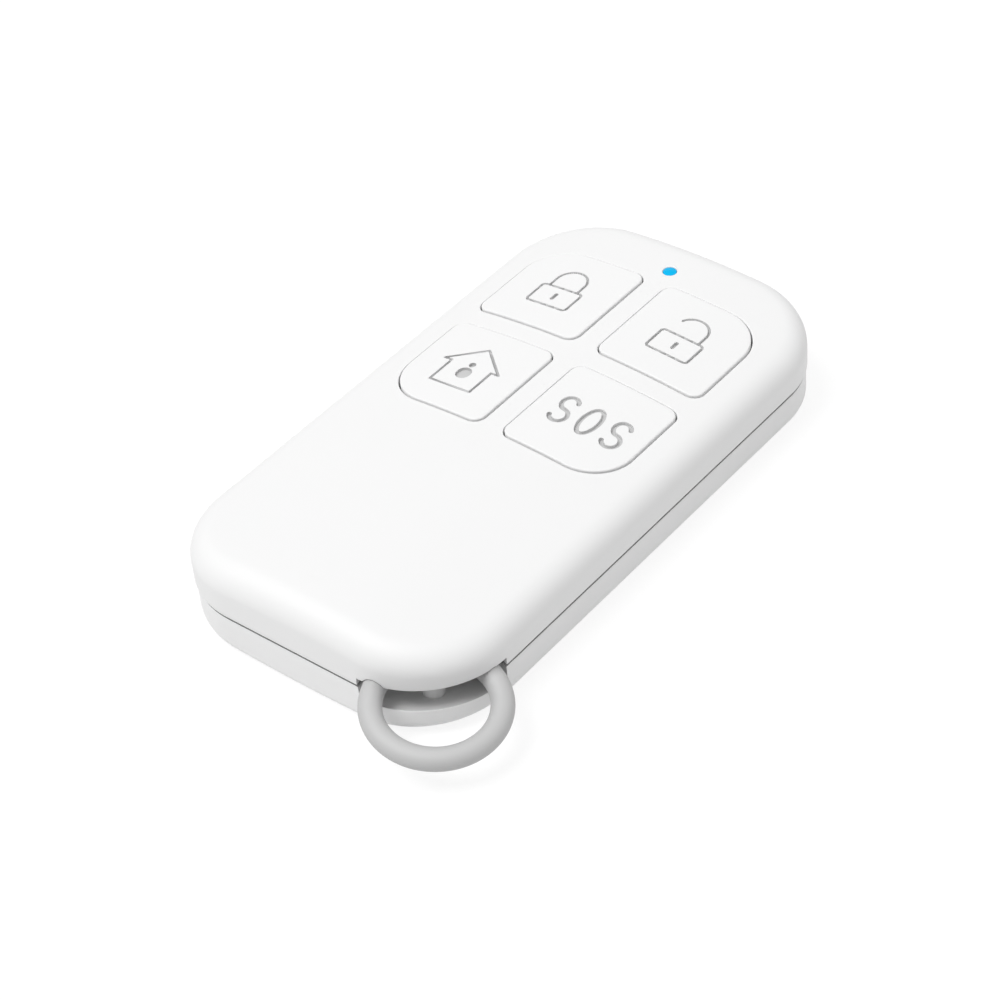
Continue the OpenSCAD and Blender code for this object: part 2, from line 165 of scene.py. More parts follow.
# Finishes: grain and its depth in millimetres. A blasted tool's grain is drawn coarse enough to show
BLASTED = (0.18, 0.0015)
CLOUD_GRAINS = 40       # the slow change of colour and roughness is this many grains wide

# Studio, in metres. The floor looks plain white by its share, and keeps light and shadow by the rest
KEY_LAMP_AT = (-0.30, -0.52, 1.24)
KEY_LAMP_SIZE = 0.8
SIDE_LAMP_AT = (0.62, 0.58, 0.85)
SIDE_LAMP_SIZE = 0.6
FLOOR_HALF = 3.0
FLOOR_WHITE = 1.08
FLOOR_SHARE = 0.8
CLIP_START = 0.01


def srgb(code):
    """Linear red, green and blue of an sRGB hex colour."""
    parts = np.array([int(code[i:i + 2], 16) for i in (1, 3, 5)]) / 255
    return tuple(np.where(parts <= 0.04045, parts / 12.92, ((parts + 0.055) / 1.055) ** 2.4))


def length(name, words, mm):
    """A length that the user can change, given in millimetres."""
    return FloatProperty(name=name, description=words, default=mm * MM, unit="LENGTH",
                         subtype="DISTANCE", precision=5)


def turn(name, words, degrees):
    """An angle that the user can change, given in degrees."""
    return FloatProperty(name=name, description=words, default=math.radians(degrees), subtype="ANGLE")


def power(name, words, watts):
    """A lamp's power that the user can change, given in watts."""
    return FloatProperty(name=name, description=words, default=watts, unit="POWER")


def colour(name, words, code):
    """A colour that the user can change, given as sRGB hex."""
    return FloatVectorProperty(name=name, description=words, default=srgb(code), size=3, min=0, max=1,
                               subtype="COLOR")


class FobCase(bpy.types.PropertyGroup):
    """Sizes of the two covers"""
    corner_r: length("Corner radius", "Plan radius of the four corners", 8.9)
    edge_r: length("Top edge radius", "Radius of the rolled edge round the top", 2.4)
    crown_r: length("Crown radius", "Radius of the crown across the width", 91)
    base_r: length("Base edge radius", "Radius of the rolled edge round the base", 1.2)
    base_crown_r: length("Base crown radius", "Radius of the crown across the base", 150)
    base_flat_w: length("Base flat", "Width of the flat strip that the case lies on", 8.5)
    seam_gap: length("Seam gap", "Gap between the two covers", 0.4)
    wall_t: length("Wall thickness", "Side wall of the front cover", 1.2)
    top_t: length("Top thickness", "Top of the front cover", 1.3)
    floor_z: length("Floor height", "Height of the rear cover's floor inside", 1.65)
    rim_r: length("Rim softness", "Radius of the moulded edges at the seam", 0.03)
    lip_r: length("Opening softness", "Radius round the key openings", 0.1)


class FobKeys(bpy.types.PropertyGroup):
    """Sizes of the keys and their symbols"""
    big_r: length("Large corner", "Radius of the outer corner of each key", 4.2)
    small_r: length("Small corners", "Radius of the other corners", 1.1)
    gap: length("Gap", "Gap between a key and its opening", 0.15)
    proud: length("Proud", "How far a key stands above the case", 0.15)
    flange: length("Flange", "Width of the flange that holds a key in", 0.75)
    edge_r: length("Edge softness", "Radius of the edge round a key's top", 0.15)
    groove_w: length("Symbol line", "Width of the engraved lines", 0.26)
    letter_w: length("Letter line", "Width of the engraved letters' lines", 0.44)
    groove_depth: length("Symbol depth", "Depth of the engraving", 0.3)


class FobRing(bpy.types.PropertyGroup):
    """Sizes and place of the key ring"""
    wire_d: length("Wire", "Diameter of the ring's wire", 2.05)
    ring_d: length("Ring", "Diameter of the ring at the middle of its wire", 10.9)
    out: length("Out", "How far the ring's centre lies outside the corner", 0.67)
    height: length("Height", "Height of the ring's centre", 4.25)
    droop: turn("Droop", "Angle by which the outer end hangs down", 7.9)
    lean: turn("Lean", "Sideways lean of the ring", -3)
    pocket_r: length("Pocket radius", "Radius of the pocket round the ring's centre", 7.05)
    slot_low: length("Slot floor", "Height of the slot's floor", 2.9)
    slot_high: length("Slot top", "Height of the slot's upper edge", 5.37)


class FobColours(bpy.types.PropertyGroup):
    """Colours of the materials that show"""
    case: colour("Case", "White plastic of the covers", "#E9E9E9")
    # Painted shade: dark grey for the ledge inside the seam
    seam: colour("Seam", "Painted shade on the ledge inside the seam", "#939393")
    # Painted shade: light grey for the ring's pocket
    pocket: colour("Pocket", "Painted shade in the ring's pocket", "#CDCDCD")
    keys: colour("Keys", "White plastic of the keys", "#EAEAEA")
    # Painted shade: grey for the grooves of the engraved symbols
    symbols: colour("Symbols", "Painted shade in the engraved symbols", "#C3C3C3")
    ring: colour("Ring", "Plated wire of the ring", "#C0C0C0")
    light: colour("Light", "Blue status light", "#00B2E7")


class FobStudio(bpy.types.PropertyGroup):
    """Camera and lamps"""
    target: FloatVectorProperty(name="Target", description="Point that the camera looks at", unit="LENGTH",
                                subtype="TRANSLATION", default=(0.003497, -0.0058493, 0.0053993))
    azimuth: turn("Azimuth", "Camera's turn about the upright axis", 41.897)
    elevation: turn("Elevation", "Camera's angle above the floor", 40.867)
    roll: turn("Roll", "Camera's turn about its own axis", -5.656)
    distance: length("Distance", "From the camera to its target", 241.62)
    lens: FloatProperty(name="Lens", description="Focal length in millimetres on a 36 mm sensor",
                        default=98.8)
    key: power("Key lamp", "Power of the large soft lamp", 13.9)
    side: power("Side lamp", "Power of the weak lamp on the right", 2.4)
    fill: FloatProperty(name="Fill", description="Strength of the even light from all round", default=0.42)


# Plan geometry


def crown_z(x):
    """Height of the crowned top: the arc of a large cylinder that lies along the case."""
    radius = bpy.context.scene.fob_case.crown_r
    return CASE_H - radius + np.sqrt(radius ** 2 - x ** 2)


def base_axis():
    """Height of the axis of the base's crown, a large cylinder that cuts the floor in a narrow strip."""
    case = bpy.context.scene.fob_case
    return math.sqrt(case.base_crown_r ** 2 - (case.base_flat_w / 2) ** 2)


def base_z(x):
    """Height of the base: the lower arc of its crown, planed flat where it would pass the floor."""
    return np.maximum(base_axis() - np.sqrt(bpy.context.scene.fob_case.base_crown_r ** 2 - x ** 2), 0)


def inside_depth(x, y):
    """Distance in from the case's plan outline, a rectangle with round corners."""
    radius = bpy.context.scene.fob_case.corner_r
    qx = np.abs(x) - (HALF_W - radius)
    qy = np.abs(y) - (HALF_L - radius)
    return radius - np.hypot(np.maximum(qx, 0), np.maximum(qy, 0)) - np.minimum(np.maximum(qx, qy), 0)


def key_outline(name):
    """Centre, half sizes and corner radii of a key's plan, from the box of its solid."""
    keys = bpy.context.scene.fob_keys
    low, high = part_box(f"{name}_button")
    centre = np.array([low.x + high.x, low.y + high.y]) / 2
    half = np.array([high.x - low.x, high.y - low.y]) / 2 - keys.flange
    radii = [keys.big_r if signs == KEYS[name] else keys.small_r for signs in CORNER_SIGNS]
    return centre, half, radii


def key_distance(name, x, y):
    """Distance outside a key's outline: each quarter is a box with its own round corner."""
    centre, half, radii = key_outline(name)
    px = x - centre[0]
    py = y - centre[1]
    upper = np.where(px >= 0, radii[0], radii[1])
    lower = np.where(px >= 0, radii[3], radii[2])
    radius = np.where(py >= 0, upper, lower)
    qx = np.abs(px) - half[0] + radius
    qy = np.abs(py) - half[1] + radius
    return np.hypot(np.maximum(qx, 0), np.maximum(qy, 0)) + np.minimum(np.maximum(qx, qy), 0) - radius


def key_clearance(x, y):
    """Distance outside the nearest key's outline."""
    return np.min([key_distance(name, x, y) for name in KEYS], axis=0)


def corner_place(x, y):
    """Plan position measured out of the ring's corner along its diagonal, and across it."""
    radius = bpy.context.scene.fob_case.corner_r
    apex_in = radius * (1 - math.sqrt(0.5))
    px = x - (HALF_W - apex_in)
    py = y + HALF_L - apex_in
    return (px - py) / math.sqrt(2), (px + py) / math.sqrt(2)


def plan_of(out, across):
    """The inverse of corner_place."""
    apex_in = bpy.context.scene.fob_case.corner_r * (1 - math.sqrt(0.5))
    apex = np.array([HALF_W - apex_in, -HALF_L + apex_in])
    return apex + np.stack([out + across, across - out], -1) / math.sqrt(2)


def ring_reach(x, y):
    """Plan distance from the ring's centre."""
    out, across = corner_place(x, y)
    return np.hypot(out - bpy.context.scene.fob_ring.out, across)


def ring_frame():
    """The ring's turn and centre: out along the corner's diagonal, leaning sideways and drooping."""
    ring = bpy.context.scene.fob_ring
    spin = Matrix.Rotation(-math.pi / 4, 3, "Z") @ Matrix.Rotation(ring.lean, 3, "X")
    spin = spin @ Matrix.Rotation(ring.droop, 3, "Y")
    return np.array(spin), np.append(plan_of(ring.out, 0.0), ring.height)


def leg_arch(x, y):
    """Upper side of two straight rods along the ring's legs: the larger root, at each plan point,
    of the rod's equation |p - (p.d) d| = radius."""
    ring = bpy.context.scene.fob_ring
    spin, centre = ring_frame()
    radius = ring.wire_d / 2 + LEG_ROOM
    highest = np.zeros_like(x)
    for sign in (-1, 1):
        angle = sign * math.acos(-LEG_REACH / (ring.ring_d / 2))
        start = centre + spin @ (ring.ring_d / 2 * np.array([math.cos(angle), math.sin(angle), 0]))
        along = spin @ np.array([-math.sin(angle), math.cos(angle), 0])
        vx = x - start[0]
        vy = y - start[1]
        flat = vx * along[0] + vy * along[1]
        square = 1 - along[2] ** 2
        half = flat * along[2]
        inside = half ** 2 - square * (vx ** 2 + vy ** 2 - flat ** 2 - radius ** 2)
        root = start[2] + (half + np.sqrt(np.maximum(inside, 0))) / square
        highest = np.where(inside > 0, np.maximum(highest, root), highest)
    return highest


def rounded_loop(half, radii, arc_step, run_step):
    """Outline of a rectangle with its own radius at each corner, anticlockwise, and its outward
    normals: an arc at each corner joined by straight runs."""
    arcs = []
    for k, (signs, radius) in enumerate(zip(CORNER_SIGNS, radii)):
        steps = max(round(QUARTER * radius / arc_step), ARC_LEAST)
        angle = QUARTER * (k + np.linspace(0, 1, steps + 1))
        normal = np.column_stack([np.cos(angle), np.sin(angle)])
        arcs.append((np.array(signs) * (np.array(half) - radius) + radius * normal, normal))
    points = []
    normals = []
    for (here, normal), (there, _) in zip(arcs, arcs[1:] + arcs[:1]):
        run = there[0] - here[-1]
        steps = max(round(np.linalg.norm(run) / run_step), 1)
        share = np.linspace(0, 1, steps + 1)[1:-1, None]
        points += [here, here[-1] + share * run]
        normals += [normal, np.repeat(normal[-1:], len(share), axis=0)]
    return np.concatenate(points), np.concatenate(normals)


def circle(centre, radius, step=ARC_STEP):
    """Points round a circle, anticlockwise."""
    count = max(round(2 * math.pi * radius / step), CIRCLE_LEAST)
    angle = np.linspace(0, 2 * math.pi, count, endpoint=False)
    return np.asarray(centre) + radius * np.column_stack([np.cos(angle), np.sin(angle)])


def add_crossings(points, normals, level):
    """Adds to a loop the points where level, a function of plan position, changes sign."""
    value = level(points[:, 0], points[:, 1])
    ahead = np.roll(value, -1)
    at = np.flatnonzero(value * ahead < 0)
    share = (value[at] / (value[at] - ahead[at]))[:, None]
    new = points[at] + share * (np.roll(points, -1, axis=0)[at] - points[at])
    leaning = normals[at] + share * (np.roll(normals, -1, axis=0)[at] - normals[at])
    leaning /= np.linalg.norm(leaning, axis=1)[:, None]
    return np.insert(points, at + 1, new, axis=0), np.insert(normals, at + 1, leaning, axis=0), new


def pocket_arc(radius, ends=None, least_depth=0.0):
    """Arc about the ring's centre inside the case, between two end points or where it is deep enough."""
    ring = bpy.context.scene.fob_ring
    if ends is None:
        angle = np.linspace(0, 2 * math.pi, round(2 * math.pi * radius / ARC_STEP))
        plan = plan_of(ring.out + radius * np.cos(angle), radius * np.sin(angle))
        return plan[inside_depth(plan[:, 0], plan[:, 1]) > least_depth]
    out, across = corner_place(ends[:, 0], ends[:, 1])
    angle = np.mod(np.arctan2(across, out - ring.out), 2 * math.pi)
    order = np.argsort(angle)
    sweep = np.linspace(*angle[order], round(math.pi * radius / ARC_STEP))[1:-1]
    inner = plan_of(ring.out + radius * np.cos(sweep), radius * np.sin(sweep))
    return np.concatenate([ends[order[:1]], inner, ends[order[1:]]])


# Surfaces


def triangulate(closed, opened, loose):
    """Plan triangles inside the outermost loop, which keep the edges of closed loops and open lines and
    use loose points too. It works in millimetres."""
    inner_only = 1
    merge = 1e-5
    runs = [*closed, *opened]
    starts = np.cumsum([0, *map(len, runs)])
    edges = []
    for k, run in enumerate(runs):
        index = starts[k] + np.arange(len(run))
        pairs = np.column_stack([index, np.roll(index, -1)])
        edges.append(pairs if k < len(closed) else pairs[:-1])
    points = np.concatenate([*runs, loose]) / MM
    made = delaunay_2d_cdt(points.tolist(), np.concatenate(edges).tolist(), [], inner_only, merge)
    return np.array(made[0]) * MM, np.array(made[2])


def fill(closed, opened, loose, height, keep, up=True):
    """A surface over plan triangles: its height is a function of plan position, and only the
    triangles whose middle passes keep stay."""
    plan, tris = triangulate(closed, opened, loose)
    middle = plan[tris].mean(axis=1)
    tris = tris[keep(middle[:, 0], middle[:, 1])]
    points = np.column_stack([plan, height(plan[:, 0], plan[:, 1])])
    return points, tris if up else tris[:, ::-1]


def loft(rows):
    """A surface over rows of points, one row above another, each closed on itself."""
    grid = np.stack(rows)
    count, wide = grid.shape[:2]
    row, here = np.meshgrid(np.arange(count - 1), np.arange(wide), indexing="ij")
    there = (here + 1) % wide
    quads = np.stack([row * wide + here, row * wide + there, (row + 1) * wide + there,
                      (row + 1) * wide + here], -1)
    return grid.reshape(-1, 3), quads.reshape(-1, 4)


def raised(plan, z):
    """Plan points with their heights."""
    return np.column_stack([plan, np.broadcast_to(z, len(plan))])


def make_piece(name, surfaces, node, slot, *materials, finish=None, sharp=35):
    """Joins surfaces into one welded mesh object that stands for a packed node on its body. Finish
    numbers the material of each surface, where there is more than one, and sharp is the angle in
    degrees from which an edge stays crisp."""
    shifts = np.cumsum([0] + [len(points) for points, _ in surfaces])
    faces = [face for (_, part), shift in zip(surfaces, shifts) for face in (part + shift).tolist()]
    finish = np.repeat(finish or [0] * len(surfaces), [len(part) for _, part in surfaces])
    mesh = bpy.data.meshes.new(name)
    mesh.from_pydata(np.concatenate([points for points, _ in surfaces]), [], faces)
    mesh.polygons.foreach_set("material_index", finish)
    work = bmesh.new()
    work.from_mesh(mesh)
    bmesh.ops.remove_doubles(work, verts=work.verts, dist=WELD)
    if work.calc_volume(signed=True) < 0:
        bmesh.ops.reverse_faces(work, faces=work.faces)
    work.to_mesh(mesh)
    work.free()
    mesh.shade_smooth()
    mesh.set_sharp_from_angle(angle=math.radians(sharp))
    for material in materials:
        mesh.materials.append(material)
    piece = bpy.data.objects.new(name, mesh)
    bpy.context.scene.collection.objects.link(piece)
    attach(piece, frame["nodes"][node]["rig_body"])
    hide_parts(node)


def strips(loop, normals, depth):
    """The two lines, a draft apart, of an upright wall that runs at a depth inside a loop."""
    return [loop - (depth + side * DRAFT / 2) * normals for side in (-1, 1)]


def rings_of(centre, radius):
    """The two circles, a draft apart, of an upright round wall."""
    return [circle(centre, radius + side * DRAFT / 2) for side in (-1, 1)]


def near_any(x, y, places, radius):
    """True within a radius of any of several plan places."""
    apart = np.hypot(x[:, None] - places[:, 0], y[:, None] - places[:, 1])
    return (apart < radius).any(axis=1)


def front_under(x, y):
    """Height of the front cover's underside: its seam edge, the roof under the crown, the wall, ribs
    and lip of the ring's pocket, and the posts that press on the board."""
    case = bpy.context.scene.fob_case
    ring = bpy.context.scene.fob_ring
    depth = inside_depth(x, y)
    reach = ring_reach(x, y)
    _, across = corner_place(x, y)
    in_wall = depth < case.wall_t
    z = np.where(in_wall, FRONT_LOW.z, crown_z(x) - case.top_t)
    z = np.where(near_any(x, y, PRESS_POSTS, PRESS_POST_R), BOARD_HIGH.z + PRESS_GAP, z)
    z = np.where(~in_wall & (reach < ring.pocket_r + POCKET_WALL), FRONT_LOW.z, z)
    pocket = reach < ring.pocket_r
    rib = np.abs(across - RIB_PITCH * np.round(across / RIB_PITCH)) < RIB_T / 2
    roof = np.where(rib & (np.abs(across) < 2 * RIB_PITCH), POCKET_HIGH, crown_z(x) - case.top_t)
    z = np.where(pocket, np.where(in_wall, POCKET_HIGH, roof), z)
    lip = np.maximum(ring.slot_high, leg_arch(x, y))
    return np.where(pocket & (depth < LIP_T), lip, z)


def nail_notch(x, y, margin=0.0):
    """True within a margin of the thumb-nail notch, in the middle of the far end's seam."""
    deep = inside_depth(x, y) < REAR_INSET + NOTCH_IN + margin
    return deep & (np.abs(x) < NOTCH_HALF + margin) & (y > 0)


def rear_over(x, y):
    """Height of the rear cover seen from above: its seam edge, tongue and floor, the pocket of the
    ring with its post, the board's posts and pins, and the thumb-nail notch."""
    case = bpy.context.scene.fob_case
    ring = bpy.context.scene.fob_ring
    edge_z = FRONT_LOW.z - case.seam_gap
    tongue_z = FRONT_LOW.z - case.seam_gap / 2 + TONGUE_H
    depth = inside_depth(x, y)
    reach = ring_reach(x, y)
    out, across = corner_place(x, y)
    tongue = (depth >= TONGUE_IN) & (depth < TONGUE_IN + TONGUE_T)
    hollow = depth >= TONGUE_IN + TONGUE_T
    z = np.where(hollow, case.floor_z, edge_z)
    z = np.where(tongue & (reach > ring.pocket_r + POCKET_WALL + TONGUE_GAP), tongue_z, z)
    z = np.where(near_any(x, y, BOARD_POSTS, BOARD_POST_R), BOARD_LOW.z, z)
    z = np.where(near_any(x, y, PINNED_POSTS, PIN_R), BOARD_HIGH.z + PIN_H, z)
    z = np.where(hollow & (reach < ring.pocket_r + POCKET_WALL), edge_z, z)
    z = np.where(nail_notch(x, y), edge_z - NOTCH_H, z)
    z = np.where(reach < ring.pocket_r, ring.slot_low, z)
    return np.where(np.hypot(out + POST_IN, across) < POST_R, POST_HIGH, z)


def pocket_stations(points, normals):
    """A seam loop with stations each side of the pocket's wall, and the wall's two arcs."""
    arcs = []
    for side in (-1, 1):
        radius = bpy.context.scene.fob_ring.pocket_r + side * DRAFT / 2
        points, normals, ends = add_crossings(points, normals, lambda x, y: ring_reach(x, y) - radius)
        arcs.append(pocket_arc(radius, ends))
    return points, normals, arcs


def rolled_edge(outline, normals, radius, crown_r, axis_z):
    """Rows from a wall to a crown: a ball of the edge's radius rolls between the two, and each row is
    a share of the arc from the wall's normal to the crown's. The crown's axis is below a top and
    above a base."""
    flat = outline - radius * normals
    rise = np.sqrt((crown_r - radius) ** 2 - flat[:, 0] ** 2)
    centre = raised(flat, axis_z + rise if axis_z < 0 else axis_z - rise)
    wall_normal = raised(normals, 0.0)
    crown_normal = (centre - np.array([0, 0, axis_z])) * [1, 0, 1] / (crown_r - radius)
    angle = np.arccos((wall_normal * crown_normal).sum(axis=1))[:, None]
    return [centre + radius / np.sin(angle) * (np.sin((1 - t) * angle) * wall_normal
                                               + np.sin(t * angle) * crown_normal)
            for t in np.linspace(0, 1, ROLL_ROWS)]


def top_grid(depth):
    """Grid points in the case's plan, further in than a depth."""
    gx, gy = np.meshgrid(np.arange(-HALF_W, HALF_W, TOP_GRID), np.arange(-HALF_L, HALF_L, TOP_GRID))
    grid = np.column_stack([gx.ravel(), gy.ravel()])
    return grid[inside_depth(grid[:, 0], grid[:, 1]) > depth]


def front_cover_surfaces():
    """The front cover as a closed shell. Outside: a wall from the seam, then a ball rolled between
    the wall and the crown, then the crown. Each opening has a soft lip, and the underside is a
    height over the plan."""
    case = bpy.context.scene.fob_case
    keys = bpy.context.scene.fob_keys
    outline, normals = rounded_loop((HALF_W, HALF_L), [case.corner_r] * 4, ARC_STEP, RUN_STEP)
    seam, normals, arcs = pocket_stations(outline - case.rim_r * normals, normals)
    outline = seam + case.rim_r * normals
    low = front_under(seam[:, 0], seam[:, 1])
    rows = [raised(seam + case.rim_r * math.sin(a) * normals, low + case.rim_r * (1 - math.cos(a)))
            for a in np.linspace(0, QUARTER, RIM_ROWS)]

    rolled = rolled_edge(outline, normals, case.edge_r, case.crown_r, CASE_H - case.crown_r)
    start = low + case.rim_r
    wall_high = rolled[0][:, 2]
    shares = np.linspace(0, 1, FRONT_WALL_STEPS + 1)[1:-1]
    rows += [raised(outline, start + share * (wall_high - start)) for share in shares]
    rows += rolled

    openings = []
    for name in KEYS:
        middle, half, radii = key_outline(name)
        loop, loop_normals = rounded_loop(half, radii, KEY_STEP * 2, KEY_STEP * 3)
        openings.append((loop + middle, loop_normals, keys.gap))
    loop = circle(LIGHT_AT, LIGHT_R, KEY_STEP)
    openings.append((loop, (loop - LIGHT_AT) / LIGHT_R, LIGHT_GAP))

    surfaces = [loft(rows)]
    cap_loops = [rows[-1][:, :2]]
    under_loops = []
    bend = np.linspace(0, QUARTER, LIP_ROWS)
    drop = case.lip_r * (1 - np.cos(bend))
    for loop, loop_normals, gap in openings:
        lip = [loop + (gap + case.lip_r * (1 - math.sin(a))) * loop_normals for a in bend]
        wall = [raised(plan, crown_z(plan[:, 0]) - d) for plan, d in zip(lip, drop)]
        wall.append(raised(lip[-1], crown_z(lip[-1][:, 0]) - case.top_t))
        surfaces.append(loft(wall))
        cap_loops += [lip[0], lip[0] + case.lip_r * loop_normals]
        under_loops.append(lip[-1])

    # Where the plan is plastic: outside every key opening and the light's hole
    def solid(x, y, lip_r=0.0):
        in_keys = key_clearance(x, y) < keys.gap + lip_r
        return ~in_keys & (np.hypot(x - LIGHT_AT[0], y - LIGHT_AT[1]) > LIGHT_R + LIGHT_GAP + lip_r)

    def solid_top(x, y):
        return solid(x, y, case.lip_r)

    loose = top_grid(case.edge_r + TOP_GRID / 2)
    clear = key_clearance(loose[:, 0], loose[:, 1]) > TOP_GRID / 2
    surfaces.append(fill(cap_loops, [], loose[clear], lambda x, y: crown_z(x), solid_top))

    closed = [seam, *strips(outline, normals, LIP_T), *strips(outline, normals, case.wall_t), *under_loops]
    for place in PRESS_POSTS:
        closed += rings_of(place, PRESS_POST_R)
    pocket_r = bpy.context.scene.fob_ring.pocket_r
    deep = case.wall_t * INTO_WALL
    opened = arcs + [pocket_arc(pocket_r + POCKET_WALL + side * DRAFT / 2, least_depth=deep)
                     for side in (-1, 1)]
    rib_edges = [k * RIB_PITCH + side * RIB_T / 2 + slope * DRAFT / 2
                 for k in (-1, 0, 1) for side in (-1, 1) for slope in (-1, 1)]
    for across in rib_edges:
        run = np.linspace(-pocket_r - POCKET_WALL, 0, RIB_POINTS)
        line = plan_of(run, np.full(RIB_POINTS, across))
        opened.append(line[inside_depth(line[:, 0], line[:, 1]) > case.wall_t - DRAFT * 2])
    surfaces.append(fill(closed, opened, NO_POINTS, front_under, solid, up=False))
    return surfaces


def rear_cover_surfaces():
    """The rear cover as a closed shell: a crowned base with a flat strip, a rolled edge, a wall up to
    the seam with a soft rim, and everything inside as a height over the plan."""
    case = bpy.context.scene.fob_case
    outline, normals = rounded_loop((HALF_W, HALF_L), [case.corner_r] * 4, ARC_STEP, RUN_STEP)
    seam, normals, arcs = pocket_stations(outline - (REAR_INSET + case.rim_r) * normals, normals)
    notch_lines = []
    for side in (-1, 1):
        edge = NOTCH_HALF + side * DRAFT / 2
        seam, normals, ends = add_crossings(
            seam, normals, lambda x, y: np.where(y > 0, np.abs(x) - edge, edge))
        inner = HALF_L - REAR_INSET - NOTCH_IN - 4 * DRAFT
        notch_lines += [np.array([end, [end[0], inner]]) for end in ends]
        back = HALF_L - REAR_INSET - NOTCH_IN + side * DRAFT / 2
        notch_lines.append(np.array([[-NOTCH_HALF - 4 * DRAFT, back], [NOTCH_HALF + 4 * DRAFT, back]]))
    wall = seam + case.rim_r * normals
    high = rear_over(seam[:, 0], seam[:, 1])
    rows = rolled_edge(wall, normals, case.base_r, case.base_crown_r, base_axis())[::-1]
    rows = [np.column_stack([row[:, :2], np.maximum(row[:, 2], 0)]) for row in rows]
    top = high - case.rim_r
    start = rows[-1][:, 2]
    shares = np.linspace(0, 1, REAR_WALL_STEPS + 1)[1:]
    rows += [raised(wall, start + share * (top - start)) for share in shares]
    rows += [raised(wall - case.rim_r * (1 - math.cos(a)) * normals, top + case.rim_r * math.sin(a))
             for a in np.linspace(0, QUARTER, RIM_ROWS)[1:]]

    outline = wall + REAR_INSET * normals
    closed = [seam, *strips(outline, normals, TONGUE_IN), *strips(outline, normals, TONGUE_IN + TONGUE_T)]
    for place in BOARD_POSTS:
        closed += rings_of(place, BOARD_POST_R)
    for place in PINNED_POSTS:
        closed += rings_of(place, PIN_R)
    closed += rings_of(plan_of(-POST_IN, 0.0), POST_R)
    opened = arcs + notch_lines
    pocket_r = bpy.context.scene.fob_ring.pocket_r
    deep = TONGUE_IN * INTO_WALL
    for extra in (POCKET_WALL, POCKET_WALL + TONGUE_GAP):
        radius = pocket_r + extra
        opened += [pocket_arc(radius + side * DRAFT / 2, least_depth=deep) for side in (-1, 1)]

    # Parts of the plan: the ring's pocket and the ledge inside the seam take their own darker materials, as
    # painted shade
    def everywhere(x, y):
        return np.full(len(x), True)

    def pocket(x, y):
        return ring_reach(x, y) < pocket_r + DRAFT

    def ledge(x, y):
        return ~pocket(x, y) & ~nail_notch(x, y, DRAFT) & (inside_depth(x, y) < TONGUE_IN + DRAFT)

    def inner(x, y):
        return ~pocket(x, y) & ~ledge(x, y)

    base = fill([rows[0][:, :2]], [], top_grid(REAR_INSET + case.base_r + TOP_GRID / 2),
                lambda x, y: base_z(x), everywhere, up=False)
    inside = [fill(closed, opened, NO_POINTS, rear_over, part) for part in (inner, ledge, pocket)]
    return [loft(rows), base, *inside]


# Engraved symbols: strokes in millimetres about each key's centre, each its points, whether it closes,
# and its width in metres


def arc_points(centre, radii, first, last, count=40):
    """Points along an arc of a circle or ellipse: sizes in millimetres, angles in degrees."""
    angle = np.radians(np.linspace(first, last, count))
    return np.asarray(centre) + np.asarray(radii) * np.column_stack([np.cos(angle), np.sin(angle)])


def padlock(shut):
    """A padlock: a body with round corners, a keyhole bar and a shackle that is shut or swung open."""
    keys = bpy.context.scene.fob_keys
    body, _ = rounded_loop((2.25, 1.43), [0.35] * 4, 0.08, 1)
    arch = arc_points((0, 1.45) if shut else (0.05, 1.5), (1.6, 1.6), 0, 180 if shut else 155)
    foot = np.array([[arch[0, 0], 0.26]])
    other_foot = np.array([[arch[-1, 0], 0.26]])
    shackle = np.concatenate([foot, arch, other_foot] if shut else [foot, arch])
    bar = np.array([[0, -1.5], [0, -0.8]])
    return [(body + [0, -1.17], True, keys.groove_w), (shackle, False, keys.groove_w),
            (bar, False, 1.5 * keys.groove_w)]


def house():
    """A house outline with a roof that overhangs, round a plain figure of a head over a body."""
    keys = bpy.context.scene.fob_keys
    half = np.array([[0, 3.1], [3.12, 0.42], [2.3, 0.42], [2.3, -2.8]])
    outline = np.concatenate([half, half[::-1] * [-1, 1]])
    walls = [(outline[k:k + 2], False, keys.groove_w) for k in range(len(outline) - 1)]
    head = (np.array([[0, 0.55], [0, 0.6]]), False, HEAD_D)
    body = (np.array([[0, -0.82], [0, -0.66]]), False, BODY_D)
    return [*walls, head, body]


def distress_call():
    """Three letters: an ellipse between two curls, each curl two half ellipses that join at its middle."""
    keys = bpy.context.scene.fob_keys
    tall = 1.74
    wide = 0.82
    middle = np.array([0.08, -0.08])
    pitch = np.array([2.86, 0])
    ellipse = arc_points(middle, (wide, tall), 0, 360, 80)[:-1]
    upper = arc_points((0, tall / 2), (0.92 * wide, tall / 2), 25, 270)
    lower = arc_points((0, -tall / 2), (wide, tall / 2), 90, -155)
    curl = np.concatenate([upper, lower[1:]]) + middle
    return [(ellipse, True, keys.letter_w), (curl - pitch, False, keys.letter_w),
            (curl + pitch, False, keys.letter_w)]


def symbol_of(name):
    """The strokes of a key's symbol, in metres."""
    if name == "home":
        drawn = house()
    elif name == "sos":
        drawn = distress_call()
    else:
        drawn = padlock(shut=name == "lock")
    return [(points * MM, closed, width) for points, closed, width in drawn]


def stroke_distance(x, y, points, closed):
    """Distance from plan positions to a run of straight pieces."""
    ends = np.concatenate([points, points[:1]]) if closed else points
    start = ends[:-1]
    run = ends[1:] - start
    px = x[:, None] - start[:, 0]
    py = y[:, None] - start[:, 1]
    share = np.clip((px * run[:, 0] + py * run[:, 1]) / (run ** 2).sum(axis=1), 0, 1)
    return np.hypot(px - share * run[:, 0], py - share * run[:, 1]).min(axis=1)


